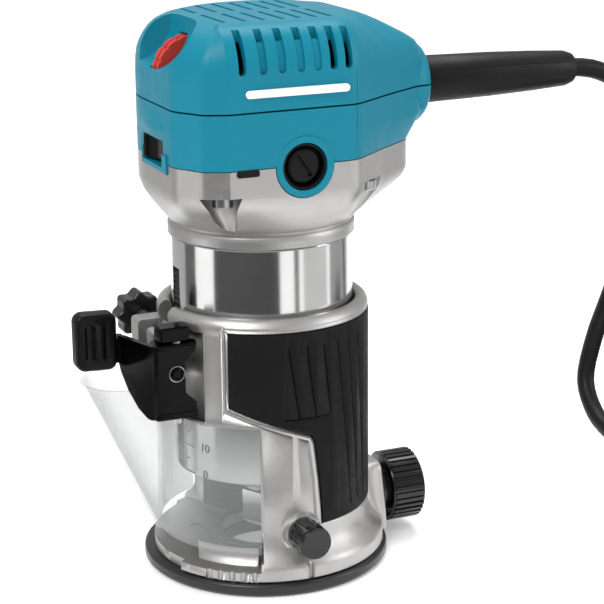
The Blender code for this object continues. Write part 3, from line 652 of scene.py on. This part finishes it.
def make_controls():
    x, y, z = DIAL_AT
    teeth = []
    for i in range(96):
        a = math.tau * i / 96
        r = 12.9 - 0.55 * (i % 6 == 0)
        teeth.append((r * math.cos(a), r * math.sin(a)))
    dial = prism("dial", teeth, -3.1, 3.1, RED, (x, y, z), "-Y")
    carve(dial, spin("t", [(11.6, -0.5), (14, -0.5), (14, 0.5), (11.6, 0.5)], None, 96, (x, y, z), "-Y"))
    settle(ease_edges(dial, 0.3), "speed_dial", "speed_dial")
    outline = [(-41.0, -15.6), (-40.1, -11), (-39.8, -6.4), (-41.2, -1), (-42.5, 2.6), (-37.2, 2.6), (-36.2, -6.4), (-37.2, -15.6)]
    outline = fillet([(px, py, 0.8) for px, py in outline], 4, 0)
    settle(ease_edges(prism("rocker_cap", outline, 152.1, 159.9, ENAMEL), 0.5), "rocker", "rocker")


def make_barrel():
    outer = [(8.2, 36.3), (30.5, 36.3), (32.5, 37.6), (32.5, 38.6), (32.5, 121.6), (32.5, 122.5), (31.0, 122.5), (31.0, 126)]
    inner = [(28.3, 126), (28.3, 122), (29.5, 121), (29.5, 45.5), (11.3, 45.5), (11.3, 38), (8.2, 38)]
    barrel = spin("barrel_tube", rounded_profile(outer + inner, 0.25, 2), TURNED, 160)
    carve(barrel, block("t", (-40, -3.2, 38.2), (-30.9, 3.2, 112)))
    settle(barrel, "motor", "barrel")
    bm = bmesh.new()
    for i in range(31):
        z = 38.2 + i
        end = -71 if i % 10 == 0 else -76 if i % 5 == 0 else -80
        tick = arc_slab(-89, end, z - 0.2, z + 0.2, 32.53, 32.68)
        add_shape(bm, tick)
    for number in (0, 10, 20):
        add_number(bm, str(number), -62, 38.8 + number)
    mesh = bpy.data.meshes.new("depth_scale")
    bm.to_mesh(mesh)
    bm.free()
    mesh.materials.append(INK)
    scale = bpy.data.objects.new("depth_scale", mesh)
    scene.collection.objects.link(scale)
    settle(scale, "motor")


def arc_slab(start, end, low, high, inner, outer, step=4.0):
    """Corners of a thin slab on the spindle's cylinder, from one angle from -Y to another."""
    count = max(1, round(abs(end - start) / step))
    rings = []
    for k in range(count + 1):
        a = start + (end - start) * k / count - 90
        rings.append([polar(inner, a, low), polar(outer, a, low), polar(outer, a, high), polar(inner, a, high)])
    return rings


def add_shape(bm, rings):
    made = [[bm.verts.new(row(p)) for p in ring] for ring in rings]
    for a, b in zip(made, made[1:]):
        for i in range(4):
            bm.faces.new((a[i], a[(i + 1) % 4], b[(i + 1) % 4], b[i]))
    bm.faces.new(made[0][::-1])
    bm.faces.new(made[-1])
    bmesh.ops.recalc_face_normals(bm, faces=bm.faces)


def add_number(bm, text, angle, z):
    """Wraps a short text round the barrel, reading upright."""
    curve = bpy.data.curves.new("number", "FONT")
    curve.body = text
    curve.size = 4.4
    curve.offset = 0.04
    curve.align_x, curve.align_y = "CENTER", "CENTER"
    curve.extrude = 0.06
    obj = bpy.data.objects.new("number", curve)
    scene.collection.objects.link(obj)
    bpy.context.view_layer.update()
    mesh = bpy.data.meshes.new_from_object(obj.evaluated_get(bpy.context.evaluated_depsgraph_get()))
    for vert in mesh.vertices:
        a = angle + math.degrees(vert.co.x / 32.5) - 90
        vert.co = row(polar(32.6 + vert.co.z, a, z + vert.co.y))
    bm.from_mesh(mesh)
    bpy.data.objects.remove(obj)
    bpy.data.curves.remove(curve)
    bpy.data.meshes.remove(mesh)


# ---- Fixed base -------------------------------------------------------------------------

GRIP_CORNERS = [(-40, 94.3), (-40, 67.7), (4.3, 56.6), (6.2, 53.6), (9.0, 39.2), (10.7, 23.0), (72, 23.0), (72, 94.3)]
LEVER_PIN = (-39.5, -19.0)


def make_sole():
    profile = [(16, 0), (43.6, 0), (45, 1.4), (45, 4.1), (44.3, 4.8), (16, 4.8)]
    sole = spin("sole", rounded_profile(profile, 0.4), SOLE, 160)
    for angle in (34, 154, 274):
        x, y = polar(26, angle)
        carve(sole, cylinder("t", 2.6, -1, 6, (x, y, 0)), cylinder("t", 4.6, -1, 3.3, (x, y, 0)))
    settle(ease_edges(sole, 0.2), "base", "sole_plate")


def column_band(name, corners, inner, outer, step=1.5, mat=None):
    """A slab on the spindle's cylinder whose outline in (angle, height) runs over a flat top."""
    lower = corners[1:-1]
    top = corners[0][1]
    angles = sorted(set([a for a, _ in lower] + list(np.arange(lower[0][0], lower[-1][0], step))))
    columns = []
    for a in angles:
        lows = [z for b, z in lower if b == a]
        low = min(lows) if lows else float(np.interp(a, [b for b, _ in lower], [z for _, z in lower]))
        columns.append((a, low, top))
    return band(name, columns, inner, outer, mat)


def mirror_y(obj):
    """Mirrors a mesh to the far side of the spindle."""
    obj.data.transform(Matrix.Translation(SPINDLE) @ Matrix.Scale(-1, 4, (0, 1, 0)) @ Matrix.Translation(-SPINDLE))
    obj.data.flip_normals()
    return obj


def make_grips():
    margin = [(-40.6, 94.7), (-40.6, 67.3), (4.0, 56.1), (5.7, 53.2), (8.5, 39.0), (10.1, 22.6), (72.6, 22.6), (72.6, 94.7)]
    for side, where in ((1, "near"), (-1, "far")):
        grip = column_band(f"grip_pad_{where}", GRIP_CORNERS, 36.0, 38.15, 1.5, RUBBER)
        tools = []
        for top_angle, lean, low in ((-8.4, 5.5, 63.3), (1.7, 5, 63.3), (11.8, 4.4, 63.3), (21.3, 10.5, 27), (30, 9, 27), (38.7, 8, 27)):
            rings = []
            for k in range(13):
                z = 89 + (low - 89) * k / 12
                a = top_angle + lean * (89 - z) / (89 - low) - 90
                rings.append([polar(37.45, a - 0.4, z), polar(39, a - 0.4, z), polar(39, a + 0.4, z), polar(37.45, a + 0.4, z)])
            tools.append(sweep("t", rings))
        tools.append(sweep("t", arc_slab(-11.5, 16, 62.8, 63.3, 37.6, 39, 2)))
        if side < 0:
            mirror_y(grip)
            [mirror_y(tool) for tool in tools]
        ease_edges(grip, 0.8, 3)
        bake(grip)
        carve(grip, *tools)
        settle(grip, "base", f"grip_{where}")
    return margin


def ridge(name, path, inner, outer, low, high):
    """A raised frame line beside a path of (angle, height): it lies from low to high millimetres outside it."""
    flat = [Vector((math.radians(a) * 37.6, z)) for a, z in path]
    rings = []
    for i, p in enumerate(flat):
        back = (p - flat[i - 1]).normalized() if i else (flat[1] - p).normalized()
        ahead = (flat[i + 1] - p).normalized() if i + 1 < len(flat) else back
        along = (back + ahead).normalized()
        side = Vector((-along.y, along.x)) / max(0.5, along.dot(ahead))
        section = []
        for r, off in ((inner, low), (outer, low + 0.25), (outer, high - 0.25), (inner, high)):
            q = p - side * off
            section.append(polar(r, math.degrees(q.x / 37.6) - 90, q.y))
        rings.append(section)
    return sweep(name, rings)


def densify(path, step=2.0):
    out = []
    for a, b in zip(path, path[1:]):
        count = max(1, round(math.hypot(b[0] - a[0], (b[1] - a[1]) * 0.6) / step))
        out += [(a[0] + (b[0] - a[0]) * k / count, a[1] + (b[1] - a[1]) * k / count) for k in range(count)]
    return out + [path[-1]]


def make_base():
    outer = [(16.5, 5.1), (43.1, 5.1), (43.5, 5.6), (43.5, 9.4), (43.2, 10.4), (42.2, 11.7), (40.6, 13.4)]
    outer += [(39.2, 15.6), (38.2, 18.4), (37.7, 22), (37.6, 26), (37.6, 28), (37.6, 92), (37.6, 93.6), (38.0, 94.4), (38.0, 96.4)]
    outer += [(37.3, 98.0), (36.0, 99.0), (34.7, 99.1), (33.6, 98.4), (33.0, 97.2), (33.0, 9.0), (16.5, 9.0)]
    base = spin("base_body", outer, CAST, 160)
    ears = ease_edges(block("t", (-45.5, -14, 70.4), (-33.6, 14, 92.8)), 1.6, 3)
    bake(ears)
    lug_side = fillet([(-5.2, -14, 1), (-13, -13, 3), (-30, -8.6, 3.5), (-30, 8.6, 3.5), (-13, 13, 3), (-5.2, 14, 1)], 6, 0)
    lug = ease_edges(prism("t", lug_side, 34.5, 43.6, None, (0, 0, 0), "X"), 0.8, 3)
    bake(lug)
    collar = cylinder("t", 6.5, 37, 43.4, (0, 0, 17), "X", 48)
    frame_line = []
    for side in (1, -1):
        line = ridge("t", densify([(-40, 95), (-40, 67.7), (4.3, 56.6), (6.2, 53.6), (9.0, 39.2), (10.7, 21.5)]), 36.5, 38.25, 1.0, 2.4)
        frame_line.append(line if side > 0 else mirror_y(line))
    stand = spin("t", [(6.0, 34.5), (7.2, 37.0), (6.3, 40.2), (2.4, 40.2), (2.4, 34.5)], None, 48, (-1.5, 0, 21.5), "-Y")
    carve(base, ears, lug, collar, stand, *frame_line, union=True)
    tools = [cylinder("t", 33.0, 9.0, 120, steps=160)]
    arc = [(a, 8.7, 60) for a in np.arange(-156, -23.9, 3)]
    tools.append(band("t", arc, 20, 50))
    tools.append(band("t", [(a, 11.9, 34) for a in np.arange(-158, -21.9, 3)], 37.75, 50))
    tools.append(band("t", [(a, 5.0, 40) for a in np.arange(-150, -65.9, 3)], 41.2, 50))
    tools.append(block("t", (-50, -4.8, 40), (-28, 4.8, 110)))
    tools.append(cylinder("t", 9.2, 60, 93.5, (*LEVER_PIN, 0)))
    for angle in (-49, -43.5, -38, -32.5, -27):
        tools.append(cylinder("t", 1.05, 4, 10.6, (*polar(43.9, angle - 90), 0), steps=16))
    tools.append(block("t", (-0.6, -46, 4), (0.6, -42.4, 16)))
    for side in (1, -1):
        pocket = column_band("t", [(-40.6, 94.7), (-40.6, 67.3), (4.0, 56.1), (5.7, 53.2), (8.5, 39.0), (10.1, 22.6), (72.6, 22.6), (72.6, 94.7)], 35.8, 45)
        tools.append(pocket if side > 0 else mirror_y(pocket))
    tools.append(cylinder("t", 2.7, -30, 30, (-39.5, 0, 78.5), "Y"))
    tools.append(cylinder("t", 2.8, 0, 30, (-37.2, 0, 88), "Y"))
    tools.append(cylinder("t", 2.4, 30, 42, (-1.5, 0, 21.5), "-Y"))
    tools.append(cylinder("t", 3.4, 30, 48, (0, 0, 17), "X"))
    for angle in (34, 154, 274):
        tools.append(cylinder("t", 2.3, 4, 12, (*polar(26, angle), 0)))
    carve(base, *tools)
    sill = band("t", [(a, 8.5, 15.6) for a in np.arange(-62, -23, 3)], 34.2, 37.2)
    carve(base, sill, union=True)
    ease_edges(base, 0.35)
    settle(base, "base", "base_casting")


def make_nozzle():
    skin = band("dust_cover", [(a, 14.2, 61.5) for a in np.arange(-156, -23.9, 2)], 38.4, 39.9, CLEAR)
    foot, mouth = Vector((-31, 5, 22)), Vector((-50, 12, 70))
    along = (mouth - foot).normalized()
    turn = along.to_track_quat("Z", "Y").to_matrix().to_4x4()
    place = Matrix.Translation(foot) @ turn

    def cone(r0, r1, low, high):
        rings = []
        for k in range(7):
            t = low + (high - low) * k / 6
            r = r0 + (r1 - r0) * t / 52
            rings.append([tuple(place @ Vector((r * math.cos(a), r * math.sin(a), t))) for a in np.linspace(0, math.tau, 65)[:-1]])
        return sweep("t", rings)

    carve(skin, cone(12.4, 14.0, -4, 60), union=True)
    carve(skin, cone(11.2, 12.8, -12, 70), cylinder("t", 38.4, 0, 62, steps=160), block("t", (-90, -50, 69.4), (0, 50, 100)))
    ease_edges(skin, 0.4)
    settle(skin, "base", "dust_nozzle")


def slab(name, outline, low, high, origin, u, v, mat=None):
    """Extrudes an outline given along the directions u and v."""
    u, v, origin = Vector(u).normalized(), Vector(v).normalized(), Vector(origin)
    n = u.cross(v)
    rings = [[tuple(origin + u * a + v * b + n * c) for a, b in outline] for c in (low, high)]
    return sweep(name, rings, mat)


def make_lever():
    spine = [(-47.5, 64), (-33.4, 64), (-33.4, 69), (-37.4, 72.8), (-37.4, 84.2), (-33.4, 88), (-33.4, 90.4), (-47.5, 90.4)]
    spine = fillet([(a, b, 1.0) for a, b in spine], 4, 0)
    lever = prism("clamp_bracket", spine, 17.4, 21.4, ENAMEL, (0, 0, 0), "-Y")
    side = [(0, 64), (5, 63.4), (12, 65.5), (19, 70), (24, 75.5), (26.5, 80), (26.5, 88.6), (0, 90.6)]
    side = fillet([(a, b, 2.0) for a, b in side], 5, 0)
    d_plate = slab("t", side, -1.0, 1.0, (-48.0, -21.4, 0), (-4.6, 26, 0), (0, 0, 1))
    parts = [d_plate]
    for low, high in ((63.4, 66.4), (88.2, 90.6)):
        flange = fillet([(-48.6, -21.5, 1.4), (-33.2, -21.5, 2.2), (-31.8, -17.5, 2), (-36, -12.4, 3), (-47.5, -12.4, 2)], 6, 0)
        parts.append(ease_edges(prism("t", flange, low, high), 0.7, 3))
        bake(parts[-1])
    neck = fillet([(-53.2, 1.6, 0.6), (-51.0, 1.0, 0.6), (-51.0, 8.0, 1.5), (-54.5, 8.6, 1.0), (-55.5, 3.4, 1.0)], 4, 0)
    parts.append(prism("t", neck, 79, 88))
    carve(lever, *parts, union=True)
    tools = [cylinder("t", 1.8, 55, 100, (*LEVER_PIN, 0)), cylinder("t", 5.0, -10, 17.8, (-39.5, 0, 78.5), "-Y")]
    carve(lever, *tools)
    ease_edges(lever, 0.6, 3)
    settle(lever, "clamp_lever", "clamp_lever")
    paddle_side = fillet([(-69, 77, 3.4), (-54.2, 76.6, 3), (-54.0, 97.4, 3), (-69, 98, 3.4)], 8, 0)
    paddle = prism("lever_paddle", [(a, b) for a, b in paddle_side], -8.8, -2.2, BLACK, (0, 0, 0), "-Y")
    ease_edges(paddle, 1.3, 4)
    bake(paddle)
    tools = [block("t", (x - 0.4, 0, 81.5), (x + 0.4, 2.8, 93.5)) for x in (-65.4, -62.0, -58.6)]
    carve(paddle, *tools)
    settle(paddle, "clamp_lever")
    rivet = [(0, 21.4), (2.0, 21.4), (2.2, 22.1), (1.6, 22.5), (1.3, 22.1), (0, 22.1)]
    settle(spin("lever_rivet", rivet, ENAMEL, 32, (-40.5, 0, 80), "-Y"), "clamp_lever")
    washer = [(2.5, 21.4), (2.95, 21.4), (2.9, 21.75), (2.7, 21.85), (2.55, 21.75)]
    settle(spin("rivet_ring", washer, STEEL, 40, (-40.5, 0, 80), "-Y"), "clamp_lever")
    cap = ease_edges(block("hinge_cap", (-45.8, -20.8, 91.2), (-35.4, -13.2, 96.4), ENAMEL), 0.7, 3)
    settle(cap, "base")
    pin = spin("hinge_pin", rounded_profile([(0, 61.5), (1.5, 61.5), (1.5, 91.4), (0, 91.4)], 0.3), STEEL, 32, (*LEVER_PIN, 0))
    settle(pin, "base", "lever_pin")


def lobed(radius, lobes, depth, points=8):
    out = []
    for i in range(lobes * points):
        a = math.tau * i / (lobes * points)
        r = radius - depth * (0.5 - 0.5 * math.cos(lobes * a))
        out.append((r * math.cos(a), r * math.sin(a)))
    return out


def make_knobs():
    knob = prism("depth_grip", lobed(8.8, 8, 1.5, 12), 26.4, 35.0, KNOB, (-37.2, 0, 88), "Y")
    settle(ease_edges(knob, 1.0, 3), "depth_knob", "depth_knob")
    at = (0, 0, 17)
    ribs = []
    for i in range(34):
        for k, r in ((0, 12.6), (0.12, 13.3), (0.56, 13.3), (0.68, 12.6)):
            a = math.tau * (i + k) / 34
            ribs.append((r * math.cos(a), r * math.sin(a)))
    knob = prism("guide_grip", ribs, 47.9, 59.6, KNOB, at, "X")
    hub = [(0, 43.9), (9.2, 43.9), (9.2, 45.6), (8.0, 46.2), (8.0, 47.2), (12.2, 47.4), (12.6, 48.2), (12.6, 59.3)]
    hub += [(12.2, 60.2), (9.5, 60.2), (8.8, 59.4), (0, 59.4)]
    carve(knob, spin("t", hub, None, 96, at, "X"), cylinder("t", 3.0, 38, 44.5, at, "X"), union=True)
    settle(ease_edges(knob, 0.2), "guide_knob", "guide_knob")
    at = (-1.5, 0, 21.5)
    screw = prism("thumb_grip", lobed(5.9, 14, 0.45, 8), 41.0, 49.6, KNOB, at, "-Y")
    face = spin("t", rounded_profile([(0, 40.8), (5.0, 40.8), (5.9, 42), (5.9, 50.2), (5.5, 51.3), (0, 51.3)], 0.3), None, 64, at, "-Y")
    carve(screw, face, union=True)
    tools = [cylinder("t", 0.55, 41.5, 48.6, (at[0] + 5.95 * math.cos(a), 0, at[2] + 5.95 * math.sin(a)), "-Y", 12) for a in np.linspace(0, math.tau, 17)[:-1]]
    carve(screw, *tools)
    settle(ease_edges(screw, 0.15), "thumb_screw", "thumb_screw")


# ---- Lead -------------------------------------------------------------------------------

CORD_RADIUS = 3.5
COIL_AT = (192.0, -27.0)
PLUG_AT = (225.0, -46.0, 33.6)
LEAD_ROUTE = [
    (126, 0, LEAD_HEIGHT), (135, 0, 170.5), (148, 0.5, 164), (157, 1.5, 149), (159.5, 3, 128),
    (158, 6, 104), (154.5, 11, 80), (150, 16, 58), (146.2, 15, 41), (145, 5, 30.5),
    (144.7, -7, 26.6), (145, -17, 25.2),
]
COIL_TURNS = [(47, 17.5), (47, 10.5), (47, 3.5), (40, 3.5), (33, 3.5), (33, 10.5), (40, 10.5), (40, 17.5), (33, 17.5)]


def smooth_path(points, spacing):
    """Points about `spacing` apart on a centripetal curve through the given ones."""
    points = [Vector(p) for p in points]
    points = [points[0] * 2 - points[1]] + points + [points[-1] * 2 - points[-2]]
    out = []
    for p0, p1, p2, p3 in zip(points, points[1:], points[2:], points[3:]):
        t1 = (p1 - p0).length ** 0.5
        t2 = t1 + (p2 - p1).length ** 0.5
        t3 = t2 + (p3 - p2).length ** 0.5
        count = max(1, round((p2 - p1).length / spacing))
        for k in range(count):
            t = t1 + (t2 - t1) * k / count
            a1 = p0.lerp(p1, t / t1)
            a2 = p1.lerp(p2, (t - t1) / (t2 - t1))
            a3 = p2.lerp(p3, (t - t2) / (t3 - t2))
            b1 = a1.lerp(a2, t / t2)
            b2 = a2.lerp(a3, (t - t1) / (t3 - t1))
            out.append(b1.lerp(b2, (t - t1) / (t2 - t1)))
    out.append(points[-2])
    return out


def coil_points():
    """Turns of the stored lead: each keeps its radius and height, then eases over to the next."""
    out = []
    for i, (radius, height) in enumerate(COIL_TURNS):
        following = COIL_TURNS[i + 1] if i + 1 < len(COIL_TURNS) else (33, 21.5)
        for k in range(20):
            t = k / 20
            ease = max(0.0, (t - 0.72) / 0.28)
            ease = ease * ease * (3 - 2 * ease)
            angle = 168 + 360 * (i + t)
            r = radius + (following[0] - radius) * ease
            z = height + (following[1] - height) * ease
            x, y = polar(r, angle)
            out.append((COIL_AT[0] + x, COIL_AT[1] + y, z))
    return out


def tube(name, path, radius, mat, sides=20):
    """A round tube along a path, with a frame that doesn't twist, and closed ends."""
    tangents = [(path[min(i + 1, len(path) - 1)] - path[max(i - 1, 0)]).normalized() for i in range(len(path))]
    normal = Vector((0, 1, 0))
    rings = []
    for p, along in zip(path, tangents):
        normal = (normal - along * normal.dot(along)).normalized()
        side = along.cross(normal)
        rings.append([tuple(p + (normal * math.cos(a) + side * math.sin(a)) * radius) for a in np.linspace(0, math.tau, sides + 1)[:-1]])
    return sweep(name, rings, mat, smooth=60)


def make_lead():
    x, y, z = PLUG_AT
    over = [(161.5, -40, 23.8), (171, -59.5, 26.3), (184, -70.8, 29), (198.5, -73.5, 31.2)]
    ending = over + [(211.8, -69.9, 32.8), (221.4, -60.3, 33.5), (x, y - 2, z), (x, y + 1, z)]
    route = [(LEAD_ROUTE[0][0] - 1.7, 0, LEAD_HEIGHT)] + LEAD_ROUTE + coil_points()[1:] + ending
    path = smooth_path(route, 4.0)
    lead = tube("mains_lead", path, CORD_RADIUS, CORD)
    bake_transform(lead)
    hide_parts("cord_lead", "cord_coil")

    neck = [(3.8, 56.3), (7.4, 56.3), (7.4, 61.9), (8.3, 61.9), (8.6, 62.4), (8.1, 90), (7.4, 108), (6.6, 122), (5.6, 125.0), (3.8, 125.0)]
    guard = spin("lead_guard", neck, CORD, 64, (0, 0, LEAD_HEIGHT), "X")
    seam = []
    for gx, r in ((64, 8.5), (90, 8.1), (108, 7.4), (121, 6.7)):
        up = math.radians(30)
        c = Vector((gx, -(r + 0.2) * math.cos(up), LEAD_HEIGHT + (r + 0.2) * math.sin(up)))
        seam.append([tuple(c + Vector((0, dy, dz))) for dy, dz in ((-0.35, -0.35), (0.35, -0.35), (0.35, 0.35), (-0.35, 0.35))])
    carve(guard, sweep("t", seam))
    settle(guard, "motor", "cord_guard")

    outline = fillet([(-7, 0, 2), (7, 0, 2), (10, 10, 6), (18, 22, 5), (18, 42, 2), (-18, 42, 2), (-18, 22, 5), (-10, 10, 6)], 6, 0)
    plug = slab("plug_body", outline, -11.5, 11.5, PLUG_AT, (1, 0, 0), (0, 1, 0), CORD)
    ease_edges(plug, 2.2, 4)
    bake(plug)
    tools = []
    for k in range(5):
        for side in (-1, 1):
            tools.append(block("t", (x - 6, y + 24 + 3.2 * k, z + side * 11.5 - 0.6), (x + 6, y + 25.2 + 3.2 * k, z + side * 11.5 + 0.6)))
    carve(plug, *tools)
    relief = [(0, -0.5), (4.6, -0.5), (5.6, 0.6), (6.2, 6), (0, 6)]
    carve(plug, spin("t", relief, None, 40, (x, y, z), "Y"), union=True)
    settle(ease_edges(plug, 0.2), "base", "plug")
    for side in (-9.5, 9.5):
        pin = rounded_profile([(0, 41.8), (2.4, 41.8), (2.4, 61), (0, 61)], 0.9)
        settle(spin(f"plug_pin_{'a' if side < 0 else 'b'}", pin, STEEL, 32, (x + side, y, z), "Y"), "base")


CARRIED = {
    STEEL: ["sole_screw_1", "sole_screw_2", "sole_screw_3", "clamp_bolt", "clamp_nut", "pinion_shaft", "armature_shaft",
            "armature_core", "field_core", "lower_bearing", "upper_bearing", "brush_spring_near", "brush_spring_far"],
    BLACK: ["rack_strip", "switch_body", "baffle", "cooling_fan", "lead_clamp"],
    TURNED: ["collet_nut", "collet"],
    COPPER: ["winding_lower", "winding_upper", "field_coil_lower", "field_coil_upper", "commutator"],
    BRASS: ["brush_holder_near", "brush_holder_far"],
    CARBON: ["carbon_brush_near", "carbon_brush_far"],
    BOARD: ["controller_board"],
    CORD: ["lead_tail"],
}


def finish_carried():
    for mat, names in CARRIED.items():
        for name in names:
            mesh = frame["nodes"][name].data
            mesh.materials.clear()
            mesh.materials.append(mat)


make_camera()
make_stage()
make_casting()
make_housing()
make_cover()
make_brush_caps()
make_controls()
make_barrel()
make_sole()
make_grips()
make_base()
make_nozzle()
make_lever()
make_knobs()
make_lead()
finish_carried()
